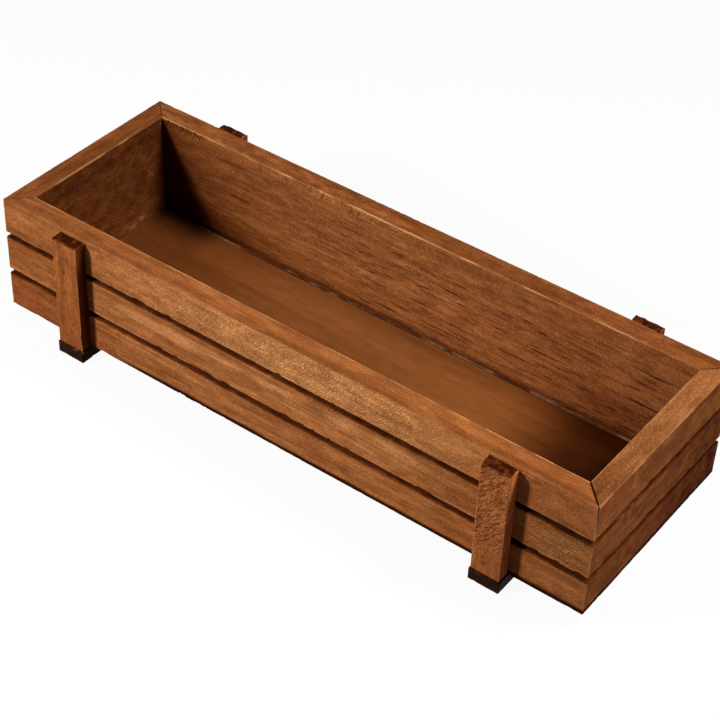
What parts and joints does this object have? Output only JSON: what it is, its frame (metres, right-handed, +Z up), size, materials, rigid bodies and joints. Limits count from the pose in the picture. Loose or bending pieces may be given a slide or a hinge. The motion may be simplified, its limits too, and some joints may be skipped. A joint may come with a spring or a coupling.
{
  "type": "window box planter",
  "caption": "Long open wooden trough with mitred, grooved walls, upright battens and two cross runners; holds soil or pots on a sill.",
  "frame": {"origin": "middle of the footprint, on the surface that the runners stand on", "axes": "+X along the box to the right end, +Z up to the open rim, -Y towards the front wall"},
  "size_m": [0.6, 0.229, 0.1255],
  "materials": {
    "stained_wood": "orange-brown stain on rough-sawn softwood, dull satin",
    "batten_wood": "orange-brown stain on torn, rough-sawn wood, dark end grain",
    "floor_wood": "smooth brown satin stain",
    "dark_wood": "near-black brown stain, satin",
    "spline_wood": "bare, planed",
    "sealant": "greyish brown, glossy, uneven",
    "steel": "dull, stained over"
  },
  "bodies": {
    "root": {"back_board_bottom": "stained_wood", "back_board_middle": "stained_wood", "back_board_top": "stained_wood", "batten_back_left": "batten_wood", "batten_back_right": "batten_wood", "batten_front_left": "batten_wood", "batten_front_right": "batten_wood", "batten_nails": "steel", "batten_screws": "steel", "corner_spline_back_left": "spline_wood", "corner_spline_back_right": "spline_wood", "corner_spline_front_left": "spline_wood", "corner_spline_front_right": "spline_wood", "floor_board": "floor_wood", "floor_nails": "steel", "floor_screws": "steel", "floor_sealant": "sealant", "front_board_bottom": "stained_wood", "front_board_middle": "stained_wood", "front_board_top": "stained_wood", "left_board_bottom": "stained_wood", "left_board_middle": "stained_wood", "left_board_top": "stained_wood", "right_board_bottom": "stained_wood", "right_board_middle": "stained_wood", "right_board_top": "stained_wood", "runner_left": "dark_wood", "runner_right": "dark_wood"}
  },
  "joints": []
}
